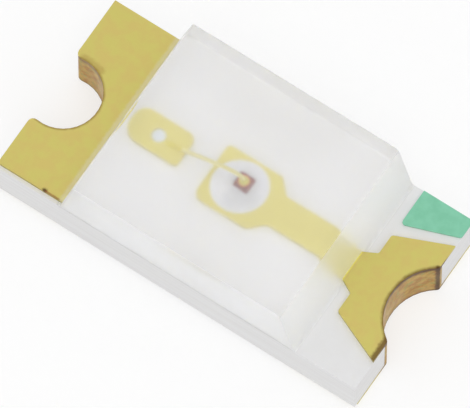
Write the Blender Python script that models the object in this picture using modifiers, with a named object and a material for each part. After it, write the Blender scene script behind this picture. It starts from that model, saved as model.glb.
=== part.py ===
"""Chip LED in the 3.2 x 1.6 mm size: a laminate board with half-moon plated ends, a die bonded to
its plated traces, and a moulded epoxy body over die and wire.

Lengths are in metres. X runs along the board towards the marked end, Y across it, Z up. The origin
is at the middle of the rectangle that the solder pads rest on.
"""

import math
from collections import namedtuple

import bmesh
import bpy
from mathutils import Matrix, Vector

# Board
BOARD_LENGTH = 3.20e-3
BOARD_WIDTH = 1.60e-3
BOARD_THICKNESS = 0.37e-3

# Plating and fits
PLATING = 30e-6
FOIL = 12e-6
CLEARANCE = 2e-6
CAST_CLEARANCE = 4e-6
CHORD_HEIGHT = 1.3e-6

# Notches, measured over their plating; the inset is from the board's end to the centre of the arc,
# and both are drilled a little off the board's middle
LEFT_NOTCH_RADIUS = 0.298e-3
LEFT_NOTCH_INSET = 0.09e-3
LEFT_NOTCH_ACROSS = -28e-6
LEFT_NOTCH_ROUNDING = 45e-6
RIGHT_NOTCH_RADIUS = 0.418e-3
RIGHT_NOTCH_INSET = -0.23e-3
RIGHT_NOTCH_ACROSS = -12e-6
RIGHT_NOTCH_ROUNDING = 25e-6

# Epoxy body
BODY_LEFT_INSET = 0.57e-3
BODY_RIGHT_INSET = 0.545e-3
BODY_HEIGHT = 0.505e-3
BODY_END_SLOPE = 0.13e-3
BODY_ROUNDING = 45e-6
BODY_ROUNDING_STEPS = 4

# Solder pads under the board, clear of its sawn sides; the plated band on top of the left end stops
# short of the near side and runs a little under the body
SOLDER_PAD_LENGTH = 0.60e-3
SOLDER_PAD_SIDE_INSET = 40e-6
BAND_NEAR_INSET = 30e-6
BAND_UNDER_BODY = 15e-6

# Bond pad and its plated hole
BOND_PAD_LEFT = -0.926e-3
BOND_PAD_RIGHT = -0.435e-3
BOND_PAD_NEAR = -0.122e-3
BOND_PAD_FAR = 0.16e-3
BOND_PAD_LEFT_NEAR_ROUNDING = 0.13e-3
BOND_PAD_LEFT_FAR_ROUNDING = 0.10e-3
BOND_PAD_RIGHT_NEAR_ROUNDING = 30e-6
BOND_PAD_RIGHT_FAR_ROUNDING = 70e-6
VIA_X = -0.68e-3
VIA_Y = 0.016e-3
VIA_RADIUS = 55e-6
VIA_WALL = 20e-6
VIA_LAND_RADIUS = 0.16e-3
TONGUE_WIDTH = 0.20e-3

# Die pad, trace and fan-shaped end pad; the fan's sides keep clear of the polarity mark
DIE_PAD_LEFT = -0.21e-3
DIE_PAD_LENGTH = 0.475e-3
DIE_PAD_WIDTH = 0.487e-3
DIE_PAD_NEAR_ROUNDING = 75e-6
DIE_PAD_FAR_ROUNDING = 35e-6
SHOULDER_LENGTH = 0.11e-3
TRACE_WIDTH = 0.262e-3
NECK_START = 0.53e-3
NECK_WIDTH = 0.38e-3
FAN_LENGTH = 0.44e-3
FAN_INNER_GAP = 0.115e-3
FAN_OUTER_GAP = 85e-6
PAD_ROUNDING = 20e-6

# Die, its contact and its adhesive; the adhesive lies a little off the middle of its pad, and the die
# off the middle of the adhesive. The die's lower part stands out past the upper one, where the second
# saw cut was narrower
DIE_SHIFT_X = 17e-6
DIE_SHIFT_Y = 30e-6
DIE_SIDE = 0.12e-3
DIE_HEIGHT = 90e-6
DIE_STEP = 5e-6
DIE_STEP_HEIGHT = 38e-6
CONTACT_RADIUS = 47e-6
CONTACT_THICKNESS = 5e-6
DAB_SHIFT_X = 10e-6
DAB_SHIFT_Y = 6e-6
DAB_RADIUS = 0.213e-3
DAB_HEIGHT = 34e-6
DAB_EDGE = 10e-6
BOND_LINE = 12e-6

# Bond wire
WIRE_RADIUS = 13e-6
WIRE_END_RADIUS = 5e-6
WIRE_TAPER = 0.14
BALL_RADIUS = 36e-6
BALL_HEIGHT = 20e-6
NECK_RADIUS = 18e-6
NECK_HEIGHT = 12e-6
STITCH_X = -0.545e-3
STITCH_Y = 6e-6
STITCH_LENGTH = 0.14e-3
STITCH_WIDTH = 46e-6
STITCH_THICKNESS = 12e-6
LOOP_RISE = 0.28e-3
LOOP_REACH = 0.12e-3
LOOP_STEPS = 22

# Ink fields
MARK_INNER_WIDTH = 0.322e-3
MARK_OUTER_WIDTH = 0.163e-3
MARK_THICKNESS = 14e-6
MARK_ROUNDING = 25e-6
UNDERSIDE_MARK_LEFT_GAP = 70e-6
UNDERSIDE_MARK_RIGHT_GAP = 0.28e-3
UNDERSIDE_MARK_POINT = 0.37e-3
UNDERSIDE_MARK_WIDTH = 0.62e-3
UNDERSIDE_MARK_THICKNESS = 26e-6

# Levels and places that follow from the sizes above
BOARD_BOTTOM = PLATING + CLEARANCE
BOARD_TOP = BOARD_BOTTOM + BOARD_THICKNESS
PAD_BOTTOM = BOARD_TOP + CLEARANCE
PAD_TOP = PAD_BOTTOM + PLATING
LEFT_END = -BOARD_LENGTH / 2
RIGHT_END = BOARD_LENGTH / 2
NEAR_SIDE = -BOARD_WIDTH / 2
FAR_SIDE = BOARD_WIDTH / 2
BODY_LEFT = LEFT_END + BODY_LEFT_INSET
BODY_RIGHT = RIGHT_END - BODY_RIGHT_INSET
DAB_X = DIE_PAD_LEFT + DIE_PAD_WIDTH / 2 + DAB_SHIFT_X
DAB_Y = DAB_SHIFT_Y
DIE_X = DAB_X + DIE_SHIFT_X
DIE_Y = DAB_Y + DIE_SHIFT_Y
DIE_BOTTOM = PAD_TOP + CLEARANCE + BOND_LINE
DIE_TOP = DIE_BOTTOM + DIE_HEIGHT
DIE_STEP_LEVEL = DIE_BOTTOM + DIE_STEP_HEIGHT
CONTACT_BOTTOM = DIE_TOP + CLEARANCE
BALL_BOTTOM = CONTACT_BOTTOM + CONTACT_THICKNESS + CLEARANCE
STITCH_BOTTOM = PAD_TOP + CLEARANCE
CUT_MARGIN = 0.1e-3

Notch = namedtuple("Notch", "name end inset across radius rounding")
LEFT_NOTCH = Notch(
    "left_notch", LEFT_END, LEFT_NOTCH_INSET, LEFT_NOTCH_ACROSS, LEFT_NOTCH_RADIUS, LEFT_NOTCH_ROUNDING
)
RIGHT_NOTCH = Notch(
    "right_notch", RIGHT_END, RIGHT_NOTCH_INSET, RIGHT_NOTCH_ACROSS, RIGHT_NOTCH_RADIUS,
    RIGHT_NOTCH_ROUNDING,
)


# Scene and materials

def clear_scene():
    for old in list(bpy.data.objects):
        bpy.data.objects.remove(old, do_unlink=True)


def new_collection(name):
    made = bpy.data.collections.new(name)
    bpy.context.scene.collection.children.link(made)
    return made


def new_material(name, colour, roughness, metallic=0.0, transmission=0.0):
    """A Principled material; the colour is linear red, green and blue."""
    made = bpy.data.materials.new(name)
    made.use_nodes = True
    shader = made.node_tree.nodes["Principled BSDF"]
    shader.inputs["Base Color"].default_value = (*colour, 1.0)
    shader.inputs["Roughness"].default_value = roughness
    shader.inputs["Metallic"].default_value = metallic
    shader.inputs["Transmission Weight"].default_value = transmission
    made.diffuse_color = (*colour, 1.0)
    made.metallic = metallic
    made.roughness = roughness
    return made


# Outlines, as lists of (x, y) running anticlockwise

def arc(centre, radius, start, sweep):
    """Points along an arc from the angle start through sweep, both in radians, ends included."""
    step = 2 * math.acos(max(1 - CHORD_HEIGHT / radius, 0.5))
    count = max(math.ceil(abs(sweep) / step), 2)
    angles = [start + sweep * i / count for i in range(count + 1)]
    return [(centre[0] + radius * math.cos(a), centre[1] + radius * math.sin(a)) for a in angles]


def rounded(corners):
    """The polygon through corners, given as (x, y, radius), with each corner rounded by its radius."""
    points = []
    for i, (x, y, radius) in enumerate(corners):
        here = Vector((x, y))
        if radius <= 0:
            points.append((x, y))
            continue
        before = (Vector(corners[i - 1][:2]) - here).normalized()
        after = (Vector(corners[(i + 1) % len(corners)][:2]) - here).normalized()
        half = before.angle(after) / 2
        centre = here + (before + after).normalized() * (radius / math.sin(half))
        first = here + before * (radius / math.tan(half)) - centre
        last = here + after * (radius / math.tan(half)) - centre
        sweep = first.angle_signed(last)
        points += arc(centre, radius, math.atan2(first.y, first.x), -sweep)
    return points


def grown(points, distance):
    """The outline moved outwards by distance, square to each of its edges."""
    moved = []
    for i, point in enumerate(points):
        here = Vector(point)
        before = (here - Vector(points[i - 1])).normalized()
        after = (Vector(points[(i + 1) % len(points)]) - here).normalized()
        out_before = Vector((before.y, -before.x))
        out_after = Vector((after.y, -after.x))
        shift = (out_before + out_after) * (distance / (1 + out_before.dot(out_after)))
        moved.append(tuple(here + shift))
    return moved


def rectangle(left, near, right, far):
    return [(left, near), (right, near), (right, far), (left, far)]


def circle(centre, radius):
    return arc(centre, radius, 0, 2 * math.pi)[:-1]


def inwards(notch, points):
    """Points given as (depth from the notch's end, distance across from its middle), placed on the
    board."""
    side = math.copysign(1, notch.end)
    placed = [(notch.end - side * depth, notch.across + across) for depth, across in points]
    return placed[::-1] if side > 0 else placed


def open_outline(notch):
    """The open space of a notch: an arc about a centre that lies inset from the end, met by a small
    arc at each corner of the mouth, and carried on past the end so that it cuts clean."""
    centre = Vector((notch.inset, 0))
    lip = Vector((notch.rounding, 0))
    lip.y = math.sqrt((notch.radius + notch.rounding) ** 2 - (notch.inset - notch.rounding) ** 2)
    reach = math.atan2(lip.y, lip.x - centre.x)
    deep = arc(centre, notch.radius, -reach, 2 * reach)
    far_lip = arc(lip, notch.rounding, math.pi + reach, -reach)
    near_lip = [(depth, -across) for depth, across in reversed(far_lip)]
    outside = [(-CUT_MARGIN, lip.y), (-CUT_MARGIN, -lip.y)]
    return inwards(notch, near_lip[:-1] + deep + far_lip[1:] + outside)


def drilled_outline(notch, radius):
    """The part of a drilled circle, about the notch's centre, that lies within the board's end."""
    reach = math.acos(-notch.inset / radius)
    return inwards(notch, arc((notch.inset, 0), radius, -reach, 2 * reach))


# Solids

def link(name, mesh, collection, material=None):
    made = bpy.data.objects.new(name, mesh)
    collection.objects.link(made)
    if material:
        mesh.materials.append(material)
    return made


def smoothed(made, angle=35):
    """Shades a round piece smooth, with its edges over angle degrees kept sharp."""
    made.data.shade_smooth()
    made.data.set_sharp_from_angle(angle=math.radians(angle))
    return made


def meshed(curve_object, weld=1e-8):
    """A mesh object in place of a curve object, with its caps welded on."""
    graph = bpy.context.evaluated_depsgraph_get()
    mesh = bpy.data.meshes.new_from_object(curve_object.evaluated_get(graph))
    work = bmesh.new()
    work.from_mesh(mesh)
    bmesh.ops.remove_doubles(work, verts=work.verts, dist=weld)
    work.to_mesh(mesh)
    work.free()
    made = bpy.data.objects.new(curve_object.name + "_mesh", mesh)
    made.matrix_world = curve_object.matrix_world.copy()
    home = curve_object.users_collection[0]
    name = curve_object.name
    bpy.data.objects.remove(curve_object)
    home.objects.link(made)
    made.name = name
    mesh.name = name
    return made


def plate(name, outline, bottom, thickness, collection, material=None):
    """A flat plate: a filled 2D curve of half the thickness each way from its middle."""
    curve = bpy.data.curves.new(name, "CURVE")
    curve.dimensions = "2D"
    curve.fill_mode = "BOTH"
    curve.extrude = thickness / 2
    spline = curve.splines.new("POLY")
    spline.points.add(len(outline) - 1)
    for point, (x, y) in zip(spline.points, outline):
        point.co = (x, y, 0, 1)
    spline.use_cyclic_u = True
    made = link(name, curve, collection, material)
    made.location.z = bottom + thickness / 2
    bpy.context.view_layer.update()
    return meshed(made)


def cylinder(name, centre, radius, bottom, top, collection, material=None):
    return plate(name, circle(centre, radius), bottom, top - bottom, collection, material)


def turned(name, profile, centre, bottom, collection, material=None):
    """A solid of revolution; the profile's (radius, height) points run down its outer side."""
    mesh = bpy.data.meshes.new(name)
    edges = [(i, i + 1) for i in range(len(profile) - 1)]
    mesh.from_pydata([(r, 0, z) for r, z in profile], edges, [])
    made = link(name, mesh, collection, material)
    made.location = (centre[0], centre[1], bottom)
    widest = max(r for r, _ in profile)
    screw = made.modifiers.new("turn", "SCREW")
    screw.steps = math.ceil(math.pi / math.acos(1 - CHORD_HEIGHT / widest))
    screw.render_steps = screw.steps
    screw.use_merge_vertices = True
    screw.merge_threshold = 1e-8
    return made


def tube(name, stations, collection, material=None):
    """A round wire through stations, each (place, radius), as a curve with filled caps."""
    curve = bpy.data.curves.new(name, "CURVE")
    curve.dimensions = "3D"
    curve.bevel_depth = max(radius for _, radius in stations)
    curve.bevel_resolution = 2
    curve.use_fill_caps = True
    spline = curve.splines.new("POLY")
    spline.points.add(len(stations) - 1)
    for point, (place, radius) in zip(spline.points, stations):
        point.co = (*place, 1)
        point.radius = radius / curve.bevel_depth
    made = link(name, curve, collection, material)
    bpy.context.view_layer.update()
    return meshed(made)


def as_cutter(made):
    made.hide_render = True
    made.display_type = "WIRE"
    return made


def boolean(target, tool, operation):
    modifier = target.modifiers.new(operation.lower() + " " + tool.name, "BOOLEAN")
    modifier.operation = operation
    modifier.solver = "EXACT"
    modifier.object = as_cutter(tool)
    return target


def cut(target, *tools):
    for tool in tools:
        boolean(target, tool, "DIFFERENCE")
    return target


def joined(target, *others):
    for other in others:
        boolean(target, other, "UNION")
    return target


# Plated outlines

def bond_pad_outline():
    return rounded([
        (BOND_PAD_LEFT, BOND_PAD_NEAR, BOND_PAD_LEFT_NEAR_ROUNDING),
        (BOND_PAD_RIGHT, BOND_PAD_NEAR, BOND_PAD_RIGHT_NEAR_ROUNDING),
        (BOND_PAD_RIGHT, BOND_PAD_FAR, BOND_PAD_RIGHT_FAR_ROUNDING),
        (BOND_PAD_LEFT, BOND_PAD_FAR, BOND_PAD_LEFT_FAR_ROUNDING),
    ])


def left_band_outline():
    return rectangle(LEFT_END, NEAR_SIDE + BAND_NEAR_INSET, BODY_LEFT + BAND_UNDER_BODY, FAR_SIDE)


def solder_pad_outline(left):
    near, far = NEAR_SIDE + SOLDER_PAD_SIDE_INSET, FAR_SIDE - SOLDER_PAD_SIDE_INSET
    return rectangle(left, near, left + SOLDER_PAD_LENGTH, far)


def tongue_outline():
    """The foil under the board from the left solder pad to the plated hole, round at its end."""
    start = LEFT_END + SOLDER_PAD_LENGTH / 2
    half = TONGUE_WIDTH / 2
    reach = math.asin(half / VIA_LAND_RADIUS)
    end = arc((VIA_X, VIA_Y), VIA_LAND_RADIUS, reach - math.pi, 2 * (math.pi - reach))
    return [(start, VIA_Y - half)] + end + [(start, VIA_Y + half)]


def right_outline():
    """Die pad, trace, neck and fan in one outline, mirrored about y = 0 but for the roundings of the
    die pad."""
    pad_right = DIE_PAD_LEFT + DIE_PAD_LENGTH
    fan = RIGHT_END - FAN_LENGTH
    fan_inner = FAR_SIDE - MARK_INNER_WIDTH - FAN_INNER_GAP
    fan_outer = FAR_SIDE - MARK_OUTER_WIDTH - FAN_OUTER_GAP

    def half(side, die_pad_rounding):
        return [
            (DIE_PAD_LEFT, side * DIE_PAD_WIDTH / 2, die_pad_rounding),
            (pad_right, side * DIE_PAD_WIDTH / 2, die_pad_rounding),
            (pad_right + SHOULDER_LENGTH, side * TRACE_WIDTH / 2, die_pad_rounding),
            (RIGHT_END - NECK_START - PAD_ROUNDING, side * TRACE_WIDTH / 2, PAD_ROUNDING),
            (fan, side * NECK_WIDTH / 2, PAD_ROUNDING),
            (fan, side * fan_inner, PAD_ROUNDING),
            (RIGHT_END, side * fan_outer, 0),
        ]

    return rounded(half(-1, DIE_PAD_NEAR_ROUNDING) + half(1, DIE_PAD_FAR_ROUNDING)[::-1])


# Plated pieces

def lining_blank(name, notch, collection):
    """The plating in a notch before the notch is cut: it fills the drilled arc from face to face."""
    outline = drilled_outline(notch, notch.radius + PLATING)
    return plate(name, outline, PLATING / 2, PAD_TOP - PLATING, collection)


def notch_cutter(notch, cutters, growth=0.0):
    outline = grown(open_outline(notch), growth)
    return plate(notch.name, outline, -CUT_MARGIN, PAD_TOP + 2 * CUT_MARGIN, cutters)


def make_left_terminal(parts, cutters, gold):
    band = plate("left_terminal", left_band_outline(), PAD_BOTTOM, PLATING, parts, gold)
    pad = plate("left_solder_pad", solder_pad_outline(LEFT_END), 0, PLATING, cutters)
    tongue = plate("tongue", tongue_outline(), PLATING - FOIL, FOIL, cutters)
    lining = lining_blank("left_lining", LEFT_NOTCH, cutters)
    barrel = cylinder(
        "barrel", (VIA_X, VIA_Y), VIA_RADIUS + VIA_WALL, PLATING - FOIL / 2, PAD_TOP - FOIL / 2, cutters
    )
    bond_pad = plate("bond_pad", bond_pad_outline(), PAD_BOTTOM, PLATING, cutters)
    bore = cylinder("bore", (VIA_X, VIA_Y), VIA_RADIUS, -CUT_MARGIN, PAD_TOP + CUT_MARGIN, cutters)
    joined(band, lining, pad, tongue, barrel, bond_pad)
    return cut(band, notch_cutter(LEFT_NOTCH, cutters), bore)


def make_right_terminal(parts, cutters, gold):
    top = plate("right_terminal", right_outline(), PAD_BOTTOM, PLATING, parts, gold)
    pad = plate(
        "right_solder_pad", solder_pad_outline(RIGHT_END - SOLDER_PAD_LENGTH), 0, PLATING, cutters
    )
    lining = lining_blank("right_lining", RIGHT_NOTCH, cutters)
    joined(top, lining, pad)
    return cut(top, notch_cutter(RIGHT_NOTCH, cutters))


# Board and fillings

def make_board(parts, cutters, laminate):
    outline = rectangle(LEFT_END, NEAR_SIDE, RIGHT_END, FAR_SIDE)
    board = plate("board", outline, BOARD_BOTTOM, BOARD_THICKNESS, parts, laminate)
    low, high = BOARD_BOTTOM - CUT_MARGIN, BOARD_TOP + CUT_MARGIN
    for notch in (LEFT_NOTCH, RIGHT_NOTCH):
        centre = inwards(notch, [(notch.inset, 0)])[0]
        radius = notch.radius + PLATING + CLEARANCE
        cut(board, cylinder(notch.name + "_drill", centre, radius, low, high, cutters))
        cut(board, notch_cutter(notch, cutters, CLEARANCE))
    via_radius = VIA_RADIUS + VIA_WALL + CLEARANCE
    return cut(board, cylinder("via_drill", (VIA_X, VIA_Y), via_radius, low, high, cutters))


def make_via_plug(parts, resin):
    return smoothed(cylinder(
        "via_plug", (VIA_X, VIA_Y), VIA_RADIUS - CLEARANCE, PLATING - FOIL, PAD_TOP - FOIL, parts, resin
    ))


# Die and its joints

def dab_profile(growth=0.0):
    """Half of the adhesive's section: part of a large sphere whose rim stands DAB_EDGE high."""
    wide = DAB_RADIUS + growth
    rise = DAB_HEIGHT - DAB_EDGE
    sphere = (wide ** 2 + rise ** 2) / (2 * rise)
    crown = arc((0, DAB_HEIGHT + growth - sphere), sphere, math.pi / 2, -math.asin(wide / sphere))
    return [(0, crown[0][1])] + crown[1:] + [(wide, 0), (0, 0)]


def die_block(name, growth, bottom, top, collection, material=None):
    half = DIE_SIDE / 2 + growth
    outline = rectangle(DIE_X - half, DIE_Y - half, DIE_X + half, DIE_Y + half)
    return plate(name, outline, bottom, top - bottom, collection, material)


def make_die_attach(parts, cutters, adhesive):
    dab = turned("die_attach", dab_profile(), (DAB_X, DAB_Y), PAD_TOP + CLEARANCE, parts, adhesive)
    pocket = die_block("die_pocket", CLEARANCE, DIE_BOTTOM - CLEARANCE, DIE_TOP, cutters)
    return cut(dab, pocket)


def make_die(parts, cutters, chip):
    die = die_block("die", -DIE_STEP, DIE_BOTTOM, DIE_TOP, parts, chip)
    return joined(die, die_block("die_foot", 0, DIE_BOTTOM, DIE_STEP_LEVEL, cutters))


def make_die_contact(parts, gold):
    top = CONTACT_BOTTOM + CONTACT_THICKNESS
    return smoothed(cylinder("die_contact", (DIE_X, DIE_Y), CONTACT_RADIUS, CONTACT_BOTTOM, top, parts, gold))


# Bond wire

def loop_stations(growth=0.0):
    """Places and radii along the wire: a cubic curve that leaves the ball straight up, bends over and
    comes down level on the stitch within LOOP_REACH, pressed thin over the last WIRE_TAPER of its run."""
    start = Vector((DIE_X, DIE_Y, BALL_BOTTOM + BALL_HEIGHT / 2))
    end = Vector((STITCH_X, STITCH_Y, STITCH_BOTTOM + WIRE_END_RADIUS))
    run = Vector((end.x - start.x, end.y - start.y, 0)).normalized()
    above = start + Vector((0, 0, LOOP_RISE))
    before = end - run * LOOP_REACH
    stations = []
    for i in range(LOOP_STEPS + 1):
        t = i / LOOP_STEPS
        s = 1 - t
        place = start * s ** 3 + above * (3 * s * s * t) + before * (3 * s * t * t) + end * t ** 3
        radius = WIRE_END_RADIUS + (WIRE_RADIUS - WIRE_END_RADIUS) * min(s / WIRE_TAPER, 1)
        stations.append((place, radius + growth))
    return stations


def ball_profile(growth=0.0):
    """Half of the ball's section: squeezed flat by the bonding tool, round at its side, with a
    tapered neck below the wire."""
    half = BALL_HEIGHT / 2
    side = arc((BALL_RADIUS - half, half), half + growth, math.pi / 2, -math.pi)
    top = BALL_HEIGHT + NECK_HEIGHT + growth
    neck = [(0, top), (WIRE_RADIUS + CLEARANCE + growth, top), (NECK_RADIUS + growth, BALL_HEIGHT + growth)]
    return neck + side + [(0, side[-1][1])]


def stitch_solid(name, growth, collection):
    """The flattened end of the wire: a squashed sphere, cut flat where it meets the bond pad."""
    work = bmesh.new()
    bmesh.ops.create_uvsphere(work, u_segments=16, v_segments=8, radius=1)
    half = Vector((STITCH_LENGTH / 2, STITCH_WIDTH / 2, STITCH_THICKNESS))
    size = [side + growth for side in half]
    bmesh.ops.transform(work, matrix=Matrix.Diagonal((*size, 1)), verts=work.verts)
    everything = work.verts[:] + work.edges[:] + work.faces[:]
    sliced = bmesh.ops.bisect_plane(
        work, geom=everything, dist=1e-9, plane_co=(0, 0, 0), plane_no=(0, 0, 1), clear_inner=True
    )
    rim = [item for item in sliced["geom_cut"] if isinstance(item, bmesh.types.BMEdge)]
    bmesh.ops.contextual_create(work, geom=rim)
    mesh = bpy.data.meshes.new(name)
    work.to_mesh(mesh)
    work.free()
    made = link(name, mesh, collection)
    made.location = (STITCH_X, STITCH_Y, STITCH_BOTTOM)
    return made


def make_bond_wire(parts, cutters, wire_gold):
    wire = tube("bond_wire", loop_stations(), parts, wire_gold)
    ball = turned("ball", ball_profile(), (DIE_X, DIE_Y), BALL_BOTTOM, cutters)
    return smoothed(joined(wire, ball, stitch_solid("stitch", 0, cutters)))


# Epoxy body

def make_epoxy_body(parts, cutters, epoxy):
    """A box with its ends sloped and its upper end edges rounded, hollowed by what it was cast round."""
    bottom = BOARD_TOP + CLEARANCE
    work = bmesh.new()
    bmesh.ops.create_cube(work, size=1)
    for vertex in work.verts:
        upper = vertex.co.z > 0
        inset = BODY_END_SLOPE if upper else 0
        vertex.co.x = BODY_LEFT + inset if vertex.co.x < 0 else BODY_RIGHT - inset
        vertex.co.y *= BOARD_WIDTH
        vertex.co.z = bottom + BODY_HEIGHT if upper else bottom
    top = bottom + BODY_HEIGHT
    ridges = [
        edge for edge in work.edges
        if all(math.isclose(v.co.z, top, rel_tol=1e-6) for v in edge.verts)
        and math.isclose(edge.verts[0].co.x, edge.verts[1].co.x, rel_tol=1e-6)
    ]
    bmesh.ops.bevel(
        work, geom=ridges, offset=BODY_ROUNDING, segments=BODY_ROUNDING_STEPS, profile=0.5, affect="EDGES"
    )
    mesh = bpy.data.meshes.new("epoxy_body")
    work.to_mesh(mesh)
    work.free()
    body = link("epoxy_body", mesh, parts, epoxy)
    return cut(body, *body_cores(cutters))


def body_cores(cutters):
    """What the epoxy flowed round, each piece grown by the casting clearance."""
    growth = CAST_CLEARANCE
    low = BOARD_TOP - CUT_MARGIN
    pad_height = PAD_TOP + growth - low
    yield plate("band_core", grown(left_band_outline(), growth), low, pad_height, cutters)
    yield plate("bond_pad_core", grown(bond_pad_outline(), growth), low, pad_height, cutters)
    yield plate("right_core", grown(right_outline(), growth), low, pad_height, cutters)
    yield turned("dab_core", dab_profile(growth), (DAB_X, DAB_Y), PAD_TOP + CLEARANCE, cutters)
    yield die_block("die_foot_core", growth, DIE_BOTTOM, DIE_STEP_LEVEL + growth, cutters)
    yield die_block("die_core", growth - DIE_STEP, DIE_BOTTOM, DIE_TOP + growth, cutters)
    contact_top = CONTACT_BOTTOM + CONTACT_THICKNESS + growth
    yield cylinder("contact_core", (DIE_X, DIE_Y), CONTACT_RADIUS + growth, DIE_TOP, contact_top, cutters)
    yield turned("ball_core", ball_profile(growth), (DIE_X, DIE_Y), BALL_BOTTOM, cutters)
    yield tube("wire_core", loop_stations(growth), cutters)
    yield stitch_solid("stitch_core", growth, cutters)


# Ink fields

def make_polarity_mark(parts, ink):
    inner = RIGHT_END - FAN_LENGTH
    outline = rounded([
        (inner, FAR_SIDE - MARK_INNER_WIDTH, MARK_ROUNDING),
        (RIGHT_END, FAR_SIDE - MARK_OUTER_WIDTH, MARK_ROUNDING),
        (RIGHT_END, FAR_SIDE, 0),
        (inner, FAR_SIDE, 0),
    ])
    return plate("polarity_mark", outline, PAD_BOTTOM, MARK_THICKNESS, parts, ink)


def make_underside_mark(parts, cutters, ink):
    """A field with a pointed end, recessed where it covers the foil."""
    half = UNDERSIDE_MARK_WIDTH / 2
    left = LEFT_END + SOLDER_PAD_LENGTH + UNDERSIDE_MARK_LEFT_GAP
    tip = RIGHT_END - SOLDER_PAD_LENGTH - UNDERSIDE_MARK_RIGHT_GAP
    shoulder = tip - UNDERSIDE_MARK_POINT
    outline = rounded([
        (left, -half, MARK_ROUNDING),
        (shoulder, -half, MARK_ROUNDING),
        (tip, 0, MARK_ROUNDING),
        (shoulder, half, MARK_ROUNDING),
        (left, half, MARK_ROUNDING),
    ])
    top = BOARD_BOTTOM - CLEARANCE
    bottom = top - UNDERSIDE_MARK_THICKNESS
    mark = plate("underside_mark", outline, bottom, UNDERSIDE_MARK_THICKNESS, parts, ink)
    recess_bottom = PLATING - FOIL - CLEARANCE
    recess = plate(
        "tongue_core", grown(tongue_outline(), CLEARANCE), recess_bottom, FOIL + CUT_MARGIN, cutters
    )
    return cut(mark, recess)


def main():
    clear_scene()
    parts = new_collection("smd_led")
    cutters = new_collection("cutters")
    laminate = new_material("white_laminate", (0.78, 0.78, 0.77), 0.60)
    gold = new_material("gold_plating", (0.58, 0.51, 0.14), 0.45, metallic=0.8)
    contact_gold = new_material("contact_gold", (0.62, 0.52, 0.13), 0.40, metallic=0.8)
    wire_gold = new_material("wire_gold", (0.66, 0.52, 0.16), 0.30, metallic=1.0)
    resin = new_material("plug_resin", (0.74, 0.76, 0.77), 0.55)
    adhesive = new_material("silver_adhesive", (0.62, 0.64, 0.67), 0.45, metallic=0.3)
    chip = new_material("die_crystal", (0.16, 0.05, 0.03), 0.35)
    epoxy = new_material("milky_epoxy", (0.86, 0.86, 0.85), 0.25, transmission=0.6)
    ink = new_material("green_ink", (0.20, 0.56, 0.36), 0.50)

    make_board(parts, cutters, laminate)
    make_left_terminal(parts, cutters, gold)
    make_right_terminal(parts, cutters, gold)
    make_via_plug(parts, resin)
    make_die_attach(parts, cutters, adhesive)
    make_die(parts, cutters, chip)
    make_die_contact(parts, contact_gold)
    make_bond_wire(parts, cutters, wire_gold)
    make_epoxy_body(parts, cutters, epoxy)
    make_polarity_mark(parts, ink)
    make_underside_mark(parts, cutters, ink)


main()
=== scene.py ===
"""Looks of a chip LED: milky epoxy over a bonded die, gold plated ends and a sawn white board.

Every length is in metres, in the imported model's frame: X along the board towards the marked end, Y
across it, Z up.
"""

import math

import bpy
import numpy as np
from bpy.props import FloatProperty, FloatVectorProperty, PointerProperty
from mathutils import Matrix, Vector


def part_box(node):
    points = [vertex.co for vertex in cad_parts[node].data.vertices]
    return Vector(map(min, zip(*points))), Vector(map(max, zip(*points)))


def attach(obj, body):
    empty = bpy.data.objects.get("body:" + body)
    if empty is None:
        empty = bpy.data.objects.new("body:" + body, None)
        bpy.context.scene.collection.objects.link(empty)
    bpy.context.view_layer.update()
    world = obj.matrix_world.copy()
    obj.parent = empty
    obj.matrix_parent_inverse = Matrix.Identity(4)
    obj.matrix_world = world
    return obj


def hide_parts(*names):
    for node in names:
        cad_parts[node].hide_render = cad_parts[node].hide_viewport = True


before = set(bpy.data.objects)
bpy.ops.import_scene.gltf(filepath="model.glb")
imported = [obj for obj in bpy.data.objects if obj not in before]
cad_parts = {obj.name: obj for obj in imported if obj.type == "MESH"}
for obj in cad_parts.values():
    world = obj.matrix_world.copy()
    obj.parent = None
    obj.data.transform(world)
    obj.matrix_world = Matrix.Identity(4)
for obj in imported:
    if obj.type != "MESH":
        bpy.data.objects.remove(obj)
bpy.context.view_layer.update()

bl_info = {
    "name": "Chip LED looks",
    "version": (1, 0, 0),
    "blender": (4, 5, 0),
    "location": "3D View > Sidebar > Chip LED",
    "description": "Dresses the solids of a chip LED: plating, laminate, epoxy, die, wire and ink",
    "category": "Object",
}

MICRON = 1e-6
SEAT = 2 * MICRON  # gap between a piece and what it stands on

# The photograph's width in pixels, and how many of them a metre at the part takes
PHOTO_WIDTH, PHOTO_SCALE = 470, 134.751e3

# Places read from the solids
PAD_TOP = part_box("left_terminal")[1].z
BOARD_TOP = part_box("board")[1].z
BODY_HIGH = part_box("epoxy_body")[1]
DIE_LOW, DIE_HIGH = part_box("die")
DAB_LOW, DAB_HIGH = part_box("die_attach")
CONTACT_LOW, CONTACT_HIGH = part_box("die_contact")
WIRE_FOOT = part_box("bond_wire")[0].z

# The drilled notches: place of the axis, and radius
LEFT_NOTCH = ((-1.51e-3, -28e-6), 0.298e-3)
RIGHT_NOTCH = ((1.83e-3, -12e-6), 0.418e-3)

# How far the lamp stands to the right and the near side, in shares of its height
LAMP_LEAN = (0.25, -0.32)

# Finishes of the epoxy body, in the order of its material slots
TOP, SAWN, ENDS = range(3)


def linear(red, green, blue):
    """A colour given as 0 to 255 on a screen, as linear light."""
    shares = np.array([red, green, blue]) / 255
    dark, bright = shares / 12.92, ((shares + 0.055) / 1.055) ** 2.4
    return tuple(float(c) for c in np.where(shares <= 0.04045, dark, bright))


def length(name, description, default):
    """A property for a length in metres."""
    return FloatProperty(
        name=name, description=description, default=default, min=-1, max=1, precision=7,
        subtype="DISTANCE", unit="LENGTH",
    )


def colour(name, description, *screen):
    """A property for a colour, whose default is given as on a screen."""
    return FloatVectorProperty(
        name=name, description=description, default=linear(*screen), min=0, max=1, size=3, subtype="COLOR"
    )


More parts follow.
